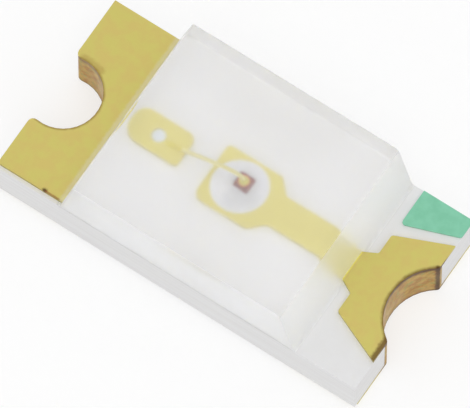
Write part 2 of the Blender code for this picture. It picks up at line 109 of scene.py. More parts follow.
# Sizes and colours that a user may change

class LED_PG_epoxy(bpy.types.PropertyGroup):
    foot_left: length("Left foot", "Where the sloped left end would meet the board", -1.030e-3)
    foot_right: length("Right foot", "Where the sloped right end meets the board", 1.055e-3)
    slope: length("End slope", "How far each end leans in from foot to top", 0.130e-3)
    left_radius: length("Left edge radius", "Rounding of the left end's upper edge", 22 * MICRON)
    right_radius: length("Right edge radius", "Rounding of the right end's upper edge", 60 * MICRON)
    foot_radius: length("Foot radius", "Concave rounding where the ends meet the board", 25 * MICRON)
    sawn_radius: length("Sawn edge radius", "Softening of the sawn edges", 4 * MICRON)
    sink: length("Sink into board", "How far the block reaches into what it is bonded to", 2 * MICRON)
    top: colour("Top", "Milky epoxy seen from above", 251, 251, 253)
    sawn: colour("Sawn side", "Milky epoxy where it was sawn", 251, 252, 255)
    ends: colour("Ends", "Milky epoxy at the leaning ends", 253, 254, 255)


class LED_PG_die(bpy.types.PropertyGroup):
    flare: length("Flare", "How far the die's lower half stands out past its solid", 5 * MICRON)
    step: length("Saw step", "How far the lower half of the die stands out past the upper", 5 * MICRON)
    corner: length("Corner radius", "Rounding of the die's upright edges", 9 * MICRON)
    dab_radius: length("Adhesive radius", "Radius of the adhesive dab", 0.213e-3)
    dab_edge: length("Adhesive edge", "Height of the adhesive at its rim", 10 * MICRON)
    dab_height: length("Adhesive height", "Height of the adhesive at its middle", 34 * MICRON)
    meniscus: length("Meniscus", "How far the adhesive climbs the die", 20 * MICRON)
    reach: length("Meniscus reach", "How far from the die the climb fades", 16 * MICRON)
    crystal: colour("Crystal", "Side of the die", 146, 44, 14)
    adhesive: colour("Adhesive", "Silver filled adhesive", 239, 240, 246)
    # painted shade: the grey of the adhesive round the die and on its near side
    adhesive_shade: colour("Grey adhesive", "Adhesive by the die, where it is darker", 202, 204, 207)
    contact: colour("Contact", "Gold on top of the die", 196, 180, 70)
    contact_rim: colour("Contact rim", "Outer ring of the contact", 226, 130, 60)


class LED_PG_wire(bpy.types.PropertyGroup):
    radius: length("Wire radius", "Radius of the gold wire", 16 * MICRON)
    end_radius: length("End radius", "Radius where the wire is pressed thin", 5 * MICRON)
    ball_radius: length("Ball radius", "Radius of the ball on the die", 36 * MICRON)
    ball_height: length("Ball height", "Height of the squeezed ball", 20 * MICRON)
    rise: length("Loop rise", "Height of the control point over the ball", 0.280e-3)
    reach: length("Loop reach", "Distance of the control point before the stitch", 0.120e-3)
    stitch_x: length("Stitch X", "Middle of the stitch along the board", -0.545e-3)
    stitch_y: length("Stitch Y", "Middle of the stitch across the board", 6 * MICRON)
    stitch_length: length("Stitch length", "Length of the flattened end", 0.140e-3)
    stitch_width: length("Stitch width", "Width of the flattened end", 46 * MICRON)
    stitch_thickness: length("Stitch thickness", "Thickness of the flattened end", 12 * MICRON)
    gold: colour("Wire gold", "Drawn gold wire", 240, 232, 158)
    ball: colour("Ball gold", "Ball on the die", 216, 208, 92)
    pressed: colour("Pressed gold", "Wire where it is flattened on the pad", 222, 208, 60)


class LED_PG_plating(bpy.types.PropertyGroup):
    gold: colour("Gold", "Gold plating in the open", 202, 192, 107)
    gold_warm: colour("Warm gold", "Warmer patches of the plating", 204, 186, 109)
    # painted light: the plating drawn paler under the epoxy
    covered_painted_light: colour("Covered gold", "Plating under the epoxy", 225, 213, 108)
    wall: colour("Notch wall", "Plating in the notches", 196, 164, 84)
    wall_brown: colour("Brown wall", "Browner patches in the notches", 172, 124, 56)
    wall_olive: colour("Olive wall", "Olive patches in the notches", 168, 156, 84)
    # painted shade: dark lines along the edges of the notches
    left_rim_shade: colour("Left rim", "Line at the edge of the left notch", 140, 112, 58)
    right_rim_shade: colour("Right rim", "Dark line at the edge of the right notch", 96, 62, 28)
    bleed: colour("Bleed", "Thin resin that crept over the plating", 208, 201, 164)


class LED_PG_board(bpy.types.PropertyGroup):
    face: colour("Laminate", "Top face of the board", 230, 230, 231)
    # painted light: the laminate drawn lighter under the epoxy
    covered_painted_light: colour("Covered laminate", "Top face of the board under the epoxy", 242, 242, 244)
    sawn: colour("Sawn laminate", "Sawn sides and ends of the board", 235, 235, 235)
    plug: colour("Hole resin", "Resin in the plated hole", 236, 243, 255)
    ink: colour("Green ink", "Printed green mark", 131, 204, 172)


class LED_PG_stage(bpy.types.PropertyGroup):
    azimuth: FloatProperty(
        name="Azimuth", description="Camera turn round the part", default=math.radians(33.605),
        subtype="ANGLE",
    )
    elevation: FloatProperty(
        name="Elevation", description="Camera height over the horizon", default=math.radians(67.935),
        subtype="ANGLE",
    )
    distance: length("Camera distance", "From the camera to the middle of the view", 0.110)
    view_width: length("View width", "Width of the view at the part", PHOTO_WIDTH / PHOTO_SCALE)
    aim_height: length("Aim height", "Height of the point that the camera was fitted to", 0.5e-3)
    aim_right: length("Aim right", "View centre right of that point", 0.536 / PHOTO_SCALE)
    aim_down: length("Aim down", "View centre below that point", 14.607 / PHOTO_SCALE)
    sky: FloatProperty(name="Sky", description="Light from all round", default=0.82, min=0, max=2)
    lamp_height: length("Lamp height", "Height of the soft lamp", 0.040)
    lamp_size: length("Lamp size", "Side of the soft lamp", 0.030)
    lamp_level: FloatProperty(
        name="Lamp level", description="Share of light from the lamp", default=0.16, min=0
    )
    floor: colour("Floor", "Floor as it lights the part", 246, 246, 246)
    shadow: FloatProperty(
        name="Shadow", description="Depth of the shadow that the eye sees", default=0.35, min=0, max=1
    )


GROUPS = {
    "led_epoxy": LED_PG_epoxy,
    "led_die": LED_PG_die,
    "led_wire": LED_PG_wire,
    "led_plating": LED_PG_plating,
    "led_board": LED_PG_board,
    "led_stage": LED_PG_stage,
}


# Surfaces

def shell(rings, closed=True):
    """Vertices and faces of a skin over rings, an array of (rings, points, 3). Neighbouring points and
    rings are joined by four-sided faces, each ring runs round into itself, and with closed set the first
    and last ring are each closed by a fan about their mean point. Rings run anticlockwise as seen from
    the side that the last one faces."""
    count, around = rings.shape[:2]
    here = np.arange(count * around).reshape(count, around)
    ahead = np.roll(here, -1, axis=1)
    quads = np.stack([here[:-1], ahead[:-1], ahead[1:], here[1:]], axis=-1).reshape(-1, 4)
    vertices = rings.reshape(-1, 3)
    faces = quads.tolist()
    if closed:
        first, last = len(vertices), len(vertices) + 1
        vertices = np.vstack([vertices, rings[0].mean(axis=0), rings[-1].mean(axis=0)])
        faces += np.stack([ahead[0], here[0], np.full(around, first)], axis=-1).tolist()
        faces += np.stack([here[-1], ahead[-1], np.full(around, last)], axis=-1).tolist()
    return vertices, faces


def merged(*shells):
    """Several closed skins as one list of vertices and faces."""
    vertices, faces, offset = [], [], 0
    for points, polygons in shells:
        vertices.append(points)
        faces += [[i + offset for i in polygon] for polygon in polygons]
        offset += len(points)
    return np.vstack(vertices), faces


def piece(name, skin, materials, replaced, sharp=40, chosen=None):
    """A finished piece at the origin that stands for a CAD node. chosen gives a material number for
    each face."""
    vertices, faces = skin
    mesh = bpy.data.meshes.new(name)
    mesh.from_pydata(vertices.tolist(), [], faces)
    for material in materials:
        mesh.materials.append(material)
    if chosen is not None:
        mesh.polygons.foreach_set("material_index", np.asarray(chosen, np.int32))
    mesh.shade_smooth()
    mesh.set_sharp_from_angle(angle=math.radians(sharp))
    if mesh.validate(verbose=False):
        raise RuntimeError(name + " has a fault in its mesh")
    made = bpy.data.objects.new(name, mesh)
    bpy.context.scene.collection.objects.link(made)
    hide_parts(replaced)
    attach(made, "root")
    return made


def turned(profile, centre, around):
    """Rings of a solid of revolution: each (radius, height) of the profile becomes the circle
    (x + r cos a, y + r sin a, height), with a running once round."""
    angle = np.linspace(0, 2 * np.pi, around, endpoint=False)
    radius, height = np.asarray(profile, float).T
    x = centre[0] + radius[:, None] * np.cos(angle)
    y = centre[1] + radius[:, None] * np.sin(angle)
    z = np.broadcast_to(height[:, None], x.shape)
    return np.stack([x, y, z], axis=-1)


def bend(centre, radius, start, stop, steps=10):
    """Points (centre + radius (cos a, sin a)) with a from start to stop, in degrees."""
    angle = np.radians(np.linspace(start, stop, steps + 1))
    return np.stack([centre[0] + radius * np.cos(angle), centre[1] + radius * np.sin(angle)], axis=-1)


# Shader nodes

def add(tree, kind, inputs=None, **settings):
    """A shader node; an input given as a socket is joined to it, and any other is set."""
    made = tree.nodes.new("ShaderNode" + kind)
    for name, value in settings.items():
        setattr(made, name, value)
    for key, value in (inputs or {}).items():
        if isinstance(value, bpy.types.NodeSocket):
            tree.links.new(value, made.inputs[key])
        else:
            made.inputs[key].default_value = value
    return made


def maths(tree, operation, first, second=0.0, third=0.0, clamp=False):
    """A Math node of up to three numbers or sockets."""
    values = {0: first, 1: second, 2: third}
    return add(tree, "Math", values, operation=operation, use_clamp=clamp).outputs[0]


def ramp(tree, value, low, high, to_low=0.0, to_high=1.0):
    """The value moved from low..high to to_low..to_high, smoothly and clamped."""
    inputs = {"Value": value, "From Min": low, "From Max": high, "To Min": to_low, "To Max": to_high}
    return add(tree, "MapRange", inputs, interpolation_type="SMOOTHSTEP").outputs[0]


def blend(tree, factor, first, second):
    """The first colour where the factor is 0 and the second where it is 1."""
    first, second = (
        value if isinstance(value, bpy.types.NodeSocket) else (*value, 1.0) for value in (first, second)
    )
    # A Mix node has its two colours at inputs 6 and 7 and their mixture at output 2
    return add(tree, "Mix", {0: factor, 6: first, 7: second}, data_type="RGBA").outputs[2]


def noise(tree, vector, scale, detail, roughness=0.5):
    """Noise from 0 to 1, with its scale in spots for each metre."""
    inputs = {"Vector": vector, "Scale": scale, "Detail": detail, "Roughness": roughness}
    return add(tree, "TexNoise", inputs).outputs[0]


def stretched(tree, vector, x, y, z):
    """The coordinates scaled by x, y and z."""
    return add(tree, "VectorMath", {0: vector, 1: (x, y, z)}, operation="MULTIPLY").outputs[0]


def group(name, inputs, outputs):
    """A new node group with named sockets: (name, kind, default) for each input."""
    tree = bpy.data.node_groups.new(name, "ShaderNodeTree")
    for label, kind, default in inputs:
        socket = tree.interface.new_socket(name=label, in_out="INPUT", socket_type="NodeSocket" + kind)
        if default is not None:
            socket.default_value = default
    for label, kind in outputs:
        tree.interface.new_socket(name=label, in_out="OUTPUT", socket_type="NodeSocket" + kind)
    return tree, tree.nodes.new("NodeGroupInput").outputs, tree.nodes.new("NodeGroupOutput").inputs


def grain_group():
    """Patches and fine grain, each from 0 to 1, at two scales of their own."""
    made = bpy.data.node_groups.get("led_grain")
    if made:
        return made
    tree, given, out = group(
        "led_grain",
        [("Vector", "Vector", None), ("Patch Scale", "Float", 9000.0), ("Grain Scale", "Float", 90000.0)],
        [("Patches", "Float"), ("Grain", "Float")],
    )
    patches = noise(tree, given["Vector"], given["Patch Scale"], 3.0, 0.55)
    grain = noise(tree, given["Vector"], given["Grain Scale"], 2.0, 0.6)
    tree.links.new(ramp(tree, patches, 0.3, 0.7), out["Patches"])
    tree.links.new(grain, out["Grain"])
    return tree


def saw_group():
    """Marks of the dicing saw, long and level, and small chips. Side is 1 on upright faces."""
    made = bpy.data.node_groups.get("led_saw_marks")
    if made:
        return made
    tree, given, out = group(
        "led_saw_marks",
        [("Vector", "Vector", None), ("Normal", "Vector", None)],
        [("Side", "Float"), ("Marks", "Float"), ("Chips", "Float")],
    )
    facing = add(tree, "SeparateXYZ", {0: given["Normal"]}).outputs[2]
    side = ramp(tree, maths(tree, "ABSOLUTE", facing), 0.75, 0.45)
    marks = noise(tree, stretched(tree, given["Vector"], 900, 900, 70000), 1.0, 3.0, 0.6)
    chips = noise(tree, given["Vector"], 60000, 2.0, 0.7)
    tree.links.new(side, out["Side"])
    tree.links.new(marks, out["Marks"])
    tree.links.new(ramp(tree, chips, 0.62, 0.75), out["Chips"])
    return tree


def notch_group():
    """A plated notch: Wall is 1 on its drilled wall, Rim is 1 in the dark line of painted shade that runs
    under its upper edge, over that edge onto the face and above its lower edge, and Normal points from
    the wall to the drill's axis, as on a true cylinder."""
    made = bpy.data.node_groups.get("led_notch")
    if made:
        return made
    tree, given, out = group(
        "led_notch",
        [
            ("Vector", "Vector", None), ("Normal", "Vector", None), ("Axis X", "Float", 0.0),
            ("Axis Y", "Float", 0.0), ("Radius", "Float", 1.0), ("Top", "Float", 1.0), ("Line", "Float", 1.0),
        ],
        [("Wall", "Float"), ("Rim", "Float"), ("Normal", "Vector")],
    )
    place = add(tree, "SeparateXYZ", {0: given["Vector"]}).outputs
    facing = add(tree, "SeparateXYZ", {0: given["Normal"]}).outputs[2]
    upright = ramp(tree, maths(tree, "ABSOLUTE", facing), 0.7, 0.4)
    across = maths(tree, "SUBTRACT", given["Axis X"], place[0])
    sideways = maths(tree, "SUBTRACT", given["Axis Y"], place[1])
    outwards = add(tree, "CombineXYZ", {0: across, 1: sideways, 2: 0.0}).outputs[0]
    distance = add(tree, "VectorMath", {0: outwards}, operation="LENGTH").outputs[1]
    past = maths(tree, "DIVIDE", distance, given["Radius"])
    near = ramp(tree, past, 1.012, 1.03, 1.0, 0.0)
    wall = maths(tree, "MULTIPLY", near, upright)
    lining = maths(tree, "MULTIPLY", upright, ramp(tree, past, 1.10, 1.28, 1.0, 0.0))
    depth = maths(tree, "DIVIDE", maths(tree, "SUBTRACT", given["Top"], place[2]), given["Line"])
    ragged = noise(tree, given["Vector"], 22000.0, 2.0)
    # painted shade: the dark line under the upper edge and above the lower edge
    upper = ramp(tree, maths(tree, "ADD", depth, ragged), 0.9, 1.9, 1.0, 0.0)
    lower = ramp(tree, place[2], 8 * MICRON, 34 * MICRON, 0.8, 0.0)
    on_wall = maths(tree, "MULTIPLY", maths(tree, "MAXIMUM", upper, lower), lining)
    from_edge = maths(tree, "MULTIPLY_ADD", ragged, 0.05, past)
    beside = ramp(tree, from_edge, 1.02, 1.10, 0.8, 0.0)
    on_face = maths(tree, "MULTIPLY", beside, ramp(tree, depth, 0.1, 0.3, 1.0, 0.0))
    rim = maths(tree, "MAXIMUM", on_wall, on_face)
    true_normal = add(tree, "VectorMath", {0: outwards}, operation="NORMALIZE").outputs[0]
    # A Mix node has its two vectors at inputs 4 and 5 and their mixture at output 1
    bent = add(tree, "Mix", {0: wall, 4: given["Normal"], 5: true_normal}, data_type="VECTOR").outputs[1]
    tree.links.new(lining, out["Wall"])
    tree.links.new(rim, out["Rim"])
    tree.links.new(bent, out["Normal"])
    return tree


def stain_group():
    """A stain about a straight segment: Stain is 1 near it and fades with a ragged edge at Reach."""
    made = bpy.data.node_groups.get("led_stain")
    if made:
        return made
    tree, given, out = group(
        "led_stain",
        [
            ("Vector", "Vector", None), ("From", "Vector", (0, 0, 0)), ("To", "Vector", (0, 0, 0)),
            ("Reach", "Float", 1.0),
        ],
        [("Stain", "Float")],
    )
    line = add(tree, "VectorMath", {0: given["To"], 1: given["From"]}, operation="SUBTRACT").outputs[0]
    away = add(tree, "VectorMath", {0: given["Vector"], 1: given["From"]}, operation="SUBTRACT").outputs[0]
    along = add(tree, "VectorMath", {0: away, 1: line}, operation="DOT_PRODUCT").outputs[1]
    whole = add(tree, "VectorMath", {0: line, 1: line}, operation="DOT_PRODUCT").outputs[1]
    share = maths(tree, "DIVIDE", along, whole, clamp=True)
    nearest = add(tree, "VectorMath", {0: line, "Scale": share}, operation="SCALE").outputs[0]
    gap = add(tree, "VectorMath", {0: away, 1: nearest}, operation="DISTANCE").outputs[1]
    ragged = maths(tree, "SUBTRACT", noise(tree, given["Vector"], 45000.0, 3.0), 0.5)
    level = maths(tree, "MULTIPLY_ADD", ragged, 0.9, maths(tree, "DIVIDE", gap, given["Reach"]))
    tree.links.new(ramp(tree, level, 0.35, 1.35, 1.0, 0.0), out["Stain"])
    return tree


def new_material(name):
    """A new material, its node tree, its Principled shader and the piece's own coordinates."""
    made = bpy.data.materials.new(name)
    made.use_nodes = True
    tree = made.node_tree
    shader = tree.nodes["Principled BSDF"]
    return made, tree, shader, add(tree, "TexCoord").outputs


def use(tree, made, **inputs):
    """A node group placed in a material with its own values; a name's _ stands for a space."""
    node = add(tree, "Group", node_tree=made)
    for key, value in inputs.items():
        socket = node.inputs[key.replace("_", " ")]
        if isinstance(value, bpy.types.NodeSocket):
            tree.links.new(value, socket)
        else:
            socket.default_value = value
    return node.outputs


def bump(tree, height, microns, normal=None):
    """A normal bent by a height of 0 to 1, which stands for so many microns."""
    inputs = {"Height": height, "Distance": microns * MICRON, "Strength": 1.0}
    if normal is not None:
        inputs["Normal"] = normal
    return add(tree, "Bump", inputs).outputs[0]


def dress(node, material):
    """Gives a CAD node its material."""
    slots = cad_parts[node].data.materials
    slots.clear()
    slots.append(material)


# Finishes

def under_epoxy(tree, place, inset=0.0):
    """Where painted light goes: 1 where a piece lies under the epoxy body, 0 past its feet and below the
    board's top; inset draws the border in from the feet."""
    feet = bpy.context.scene.led_epoxy
    at = add(tree, "SeparateXYZ", {0: place}).outputs
    middle = (feet.foot_left + feet.foot_right) / 2
    half = (feet.foot_right - feet.foot_left) / 2 - inset
    away = maths(tree, "ABSOLUTE", maths(tree, "SUBTRACT", at[0], middle))
    inside = ramp(tree, away, half - 2 * MICRON, half + 2 * MICRON, 1.0, 0.0)
    above = ramp(tree, at[2], BOARD_TOP - 12 * MICRON, BOARD_TOP - 6 * MICRON)
    return maths(tree, "MULTIPLY", inside, above)


def gold_plating(name, sizes, drilled, rim, inset, stains):
    """Soft matt gold: patches and grain in the open, paler under the epoxy from inset behind its feet as
    painted light, mottled brown and olive in the notch, with a dark ragged line of painted shade at the
    notch's edge. Each stain is (start, end, reach, share, colour)."""
    axis, radius = drilled
    made, tree, shader, coordinates = new_material(name)
    place = coordinates["Object"]
    grain = use(tree, grain_group(), Vector=place, Patch_Scale=9000.0, Grain_Scale=110000.0)
    notch = use(
        tree, notch_group(), Vector=place, Normal=coordinates["Normal"], Axis_X=axis[0], Axis_Y=axis[1],
        Radius=radius, Top=PAD_TOP, Line=50 * MICRON,
    )
    tone = blend(tree, grain["Patches"], sizes.gold, sizes.gold_warm)
    # painted light: paler gold under the epoxy
    tone = blend(tree, under_epoxy(tree, place, inset), tone, sizes.covered_painted_light)
    mottle = use(tree, grain_group(), Vector=place, Patch_Scale=16000.0, Grain_Scale=26000.0)
    wall = blend(tree, mottle["Patches"], sizes.wall, sizes.wall_brown)
    wall = blend(tree, ramp(tree, mottle["Grain"], 0.52, 0.66), wall, sizes.wall_olive)
    tone = blend(tree, notch["Wall"], tone, wall)
    # painted shade: the dark line along the notch's edges
    tone = blend(tree, notch["Rim"], tone, rim)
    for start, end, reach, share, shade in stains:
        stain = use(tree, stain_group(), Vector=place, From=start, To=end, Reach=reach)["Stain"]
        tone = blend(tree, maths(tree, "MULTIPLY", stain, share), tone, shade)
    tree.links.new(tone, shader.inputs["Base Color"])
    rough = ramp(tree, grain["Patches"], 0.0, 1.0, 0.36, 0.46)
    tree.links.new(rough, shader.inputs["Roughness"])
    shader.inputs["Metallic"].default_value = 0.85
    tree.links.new(bump(tree, grain["Grain"], 0.9, notch["Normal"]), shader.inputs["Normal"])
    return made


def laminate(sizes):
    """White resin laminate: smooth faces with faint patches, and sawn sides with streaks and chips."""
    made, tree, shader, coordinates = new_material("white_laminate")
    place = coordinates["Object"]
    grain = use(tree, grain_group(), Vector=place, Patch_Scale=5000.0, Grain_Scale=60000.0)
    saw = use(tree, saw_group(), Vector=place, Normal=coordinates["Normal"])
    face = blend(tree, maths(tree, "MULTIPLY", grain["Patches"], 0.25), sizes.face, linear(223, 222, 220))
    # painted light: lighter laminate under the epoxy
    face = blend(tree, under_epoxy(tree, place), face, sizes.covered_painted_light)
    sawn = blend(tree, ramp(tree, saw["Marks"], 0.35, 0.65), sizes.sawn, linear(229, 228, 228))
    sawn = blend(tree, maths(tree, "MULTIPLY", saw["Chips"], 0.4), sawn, linear(206, 202, 198))
    tree.links.new(blend(tree, saw["Side"], face, sawn), shader.inputs["Base Color"])
    tree.links.new(ramp(tree, saw["Side"], 0.0, 1.0, 0.45, 0.75), shader.inputs["Roughness"])
    marks = maths(tree, "MULTIPLY", saw["Marks"], saw["Side"])
    height = maths(tree, "MULTIPLY_ADD", marks, 0.7, grain["Grain"])
    tree.links.new(bump(tree, height, 0.8), shader.inputs["Normal"])
    return made


def milky_epoxy(name, tone, roughness, transmission, marks):
    """Milky translucent epoxy: clear enough to show what is in it, with a haze of its own. marks is how
    deep the saw marked it, in microns, or 0 where it wasn't sawn."""
    made, tree, shader, coordinates = new_material(name)
    place = coordinates["Object"]
    grain = use(tree, grain_group(), Vector=place, Patch_Scale=2600.0, Grain_Scale=45000.0)
    shade = blend(tree, maths(tree, "MULTIPLY", grain["Patches"], 0.5), tone, [c * 0.965 for c in tone])
    tree.links.new(shade, shader.inputs["Base Color"])
    height = grain["Grain"]
    if marks:
        saw = use(tree, saw_group(), Vector=place, Normal=coordinates["Normal"])
        height = maths(tree, "MULTIPLY_ADD", saw["Marks"], 1.5, height)
    tree.links.new(bump(tree, height, marks or 0.15), shader.inputs["Normal"])
    shader.inputs["Roughness"].default_value = roughness
    shader.inputs["Transmission Weight"].default_value = transmission
    shader.inputs["IOR"].default_value = 1.5
    return made


def plain_finish(name, tone, shade, roughness, patch_scale, grain_scale, microns):
    """A finish with patches of a second shade and a fine grain so many microns deep."""
    made, tree, shader, coordinates = new_material(name)
    grain = use(
        tree, grain_group(), Vector=coordinates["Object"], Patch_Scale=patch_scale, Grain_Scale=grain_scale
    )
    tree.links.new(blend(tree, grain["Patches"], tone, shade), shader.inputs["Base Color"])
    tree.links.new(
        ramp(tree, grain["Patches"], 0.0, 1.0, roughness, roughness + 0.08), shader.inputs["Roughness"]
    )
    tree.links.new(bump(tree, grain["Grain"], microns), shader.inputs["Normal"])
    return made


# Operators

class LED_OT_board(bpy.types.Operator):
    """Finish the board, the resin in its hole and the printed marks"""
    bl_idname = "led.board"
    bl_label = "Board and marks"

    def execute(self, context):
        sizes = context.scene.led_board
        dress("board", laminate(sizes))
        plug = plain_finish("plug_resin", sizes.plug, linear(228, 236, 249), 0.5, 20000.0, 90000.0, 1.0)
        dress("via_plug", plug)
        ink = plain_finish("green_ink", sizes.ink, linear(123, 197, 163), 0.42, 12000.0, 70000.0, 1.0)
        dress("polarity_mark", ink)
        dress("underside_mark", ink)
        return {"FINISHED"}


class LED_OT_plating(bpy.types.Operator):
    """Finish the two gold plated terminals"""
    bl_idname = "led.plating"
    bl_label = "Gold plating"

    def execute(self, context):
        sizes = context.scene.led_plating
        top, foot = PAD_TOP, context.scene.led_epoxy.foot_left
        dark, red = linear(78, 50, 26), linear(140, 84, 50)
        # Marks on the plating, each from one place to another
        left = (
            ((-1.185e-3, -0.765e-3, top), (-1.185e-3, -0.765e-3, top), 22 * MICRON, 0.9, dark),
            ((-1.17e-3, -0.770e-3, top), (-1.055e-3, -0.770e-3, top), 14 * MICRON, 0.7, red),
            ((-1.53e-3, 0.287e-3, top), (-1.37e-3, 0.265e-3, top), 34 * MICRON, 0.4, linear(160, 130, 66)),
            ((foot, -0.78e-3, top), (foot, 0.8e-3, top), 30 * MICRON, 0.6, sizes.bleed),
        )
        right = (
            ((1.590e-3, -0.36e-3, top), (1.590e-3, -0.53e-3, top), 34 * MICRON, 0.85, linear(104, 76, 40)),
            ((1.590e-3, 0.335e-3, top), (1.590e-3, 0.335e-3, 0.0), 22 * MICRON, 0.85, dark),
        )
        for side, drilled, rim, inset, stains in (
            ("left", LEFT_NOTCH, sizes.left_rim_shade, 20 * MICRON, left),
            ("right", RIGHT_NOTCH, sizes.right_rim_shade, 0.0, right),
        ):
            plating = gold_plating(side + "_gold_plating", sizes, drilled, rim, inset, stains)
            dress(side + "_terminal", plating)
        return {"FINISHED"}


class LED_OT_die(bpy.types.Operator):
    """Make the die and its adhesive, and finish its contact"""
    bl_idname = "led.die"
    bl_label = "Die and adhesive"

    def execute(self, context):
        sizes = context.scene.led_die
        darker = linear(116, 32, 10)
        crystal = plain_finish("die_crystal", sizes.crystal, darker, 0.5, 40000.0, 200000.0, 0.8)
        piece("die_crystal", die_skin(sizes), [crystal], "die", sharp=30)
        piece("silver_adhesive", dab_skin(sizes), [adhesive_finish(sizes)], "die_attach")
        dress("die_contact", contact_finish(sizes))
        return {"FINISHED"}


def adhesive_finish(sizes):
    """Silver filled adhesive, with painted shade: greyer round the die and in a patch on its near side."""
    made, tree, shader, coordinates = new_material("silver_adhesive")
    place = coordinates["Object"]
    grain = use(tree, grain_group(), Vector=place, Patch_Scale=30000.0, Grain_Scale=160000.0)
    tone = blend(tree, grain["Patches"], sizes.adhesive, [c * 0.96 for c in sizes.adhesive])
    die = (DIE_LOW + DIE_HIGH) / 2
    # painted shade round the die and in a patch on the dab's near side, each from one place to another
    shade_patches = (
        ((0, 0), (0, 0), 125 * MICRON, 0.7),
        ((0, -0.165e-3), (0.115e-3, -90e-6), 90 * MICRON, 0.5),
    )
    for start, end, reach, share in shade_patches:
        start, end = (tuple(die + Vector((*offset, 0))) for offset in (start, end))
        stain = use(tree, stain_group(), Vector=place, From=start, To=end, Reach=reach)["Stain"]
        tone = blend(tree, maths(tree, "MULTIPLY", stain, share), tone, sizes.adhesive_shade)
    tree.links.new(tone, shader.inputs["Base Color"])
    tree.links.new(ramp(tree, grain["Patches"], 0.0, 1.0, 0.42, 0.5), shader.inputs["Roughness"])
    shader.inputs["Metallic"].default_value = 0.1
    tree.links.new(bump(tree, grain["Grain"], 2.0), shader.inputs["Normal"])
    return made


def contact_finish(sizes):
    """Thin gold on the die, yellow in the middle and orange where it thins out at its rim."""
    made, tree, shader, coordinates = new_material("contact_gold")
    place = coordinates["Object"]
    grain = use(tree, grain_group(), Vector=place, Patch_Scale=40000.0, Grain_Scale=200000.0)
    middle = (CONTACT_LOW + CONTACT_HIGH) / 2
    reach = (CONTACT_HIGH.x - CONTACT_LOW.x) / 2
    away = add(tree, "VectorMath", {0: place, 1: tuple(middle)}, operation="DISTANCE").outputs[1]
    ragged = maths(tree, "MULTIPLY_ADD", grain["Grain"], 4 * MICRON, away)
    rim = ramp(tree, ragged, reach - 10 * MICRON, reach - 2 * MICRON)
    tree.links.new(blend(tree, rim, sizes.contact, sizes.contact_rim), shader.inputs["Base Color"])
    tree.links.new(ramp(tree, grain["Patches"], 0.0, 1.0, 0.32, 0.42), shader.inputs["Roughness"])
    shader.inputs["Metallic"].default_value = 0.7
    tree.links.new(bump(tree, grain["Grain"], 0.5), shader.inputs["Normal"])
    return made


def die_skin(sizes):
    """A sawn die: a square with rounded corners, whose half side is the lower one up to the saw step, at
    0.42 of its height, and the upper one above it. The corner points are the corner's centre plus its
    radius times (cos a, sin a), a quarter turn for each."""
    centre = (DIE_LOW + DIE_HIGH) / 2
    half = (DIE_HIGH.x - DIE_LOW.x) / 2 + sizes.flare
    low, high = DIE_LOW.z, DIE_HIGH.z
    middle = low + (high - low) * 0.42
    angle = np.radians(np.arange(0, 360, 15) + 7.5)
    corner = np.stack([np.sign(np.cos(angle)), np.sign(np.sin(angle))], axis=-1)
    turn = np.stack([np.cos(angle), np.sin(angle)], axis=-1)
    soft = 1.5 * MICRON
    levels = [
        (half, low), (half, middle - soft), (half - soft, middle), (half - sizes.step, middle + soft),
        (half - sizes.step, high - soft), (half - sizes.step - soft, high),
    ]
    rings = []
    for reach, height in levels:
        flat = corner * (reach - sizes.corner) + turn * sizes.corner
        rings.append(np.column_stack([flat + [centre.x, centre.y], np.full(len(flat), height)]))
    return shell(np.array(rings))


def dab_skin(sizes):
    """The adhesive: a low dome of height h0 + h1 (1 - (r / R)^2) over its disc, plus a meniscus of m
    exp(-d / reach) at the distance d outside the die's square, a rolled rim, and a flat underside. Last
    it is drawn out of round: each distance from its axis is multiplied by 1.01 + 0.03 cos 2 (a - a0),
    which is longest in the direction a0."""
    centre = (DAB_LOW + DAB_HIGH) / 2
    centre.x = DAB_HIGH.x - sizes.dab_radius
    bottom, edge = DAB_LOW.z - SEAT, sizes.dab_edge
    crown = sizes.dab_height - edge
    around, steps = 128, 40
    share = np.sin(np.linspace(0.02, 1, steps) * np.pi / 2)
    dome = turned(np.column_stack([share * sizes.dab_radius, np.zeros(steps)]), centre, around)
    die = (DIE_LOW + DIE_HIGH) / 2
    half = (DIE_HIGH.x - DIE_LOW.x) / 2 + sizes.flare
    beyond = np.hypot(
        np.maximum(np.abs(dome[..., 0] - die.x) - half, 0), np.maximum(np.abs(dome[..., 1] - die.y) - half, 0)
    )
    height = edge + crown * (1 - share[:, None] ** 2) + sizes.meniscus * np.exp(-beyond / sizes.reach)
    dome[..., 2] = bottom + height
    roll = [(sizes.dab_radius + 1 * MICRON, bottom + edge * 0.5), (sizes.dab_radius, bottom)]
    rim = turned(roll, centre, around)
    under = turned([(sizes.dab_radius * 0.5, bottom)], centre, around)
    rings = np.concatenate([under, rim[::-1], dome[::-1]])
    angle = np.linspace(0, 2 * np.pi, around, endpoint=False)
    longest = math.radians(33.6)
    out_of_round = 1.01 + 0.03 * np.cos(2 * (angle - longest))
    middle = np.array([centre.x, centre.y])
    rings[..., :2] = middle + (rings[..., :2] - middle) * out_of_round[:, None]
    return shell(rings)


class LED_OT_wire(bpy.types.Operator):
    """Make the bond wire with its ball and stitch"""
    bl_idname = "led.wire"
    bl_label = "Bond wire"

    def execute(self, context):
        sizes = context.scene.led_wire
        skin = merged(loop_skin(sizes), ball_skin(sizes), stitch_skin(sizes))
        piece("gold_wire", skin, [wire_finish(sizes)], "bond_wire")
        return {"FINISHED"}


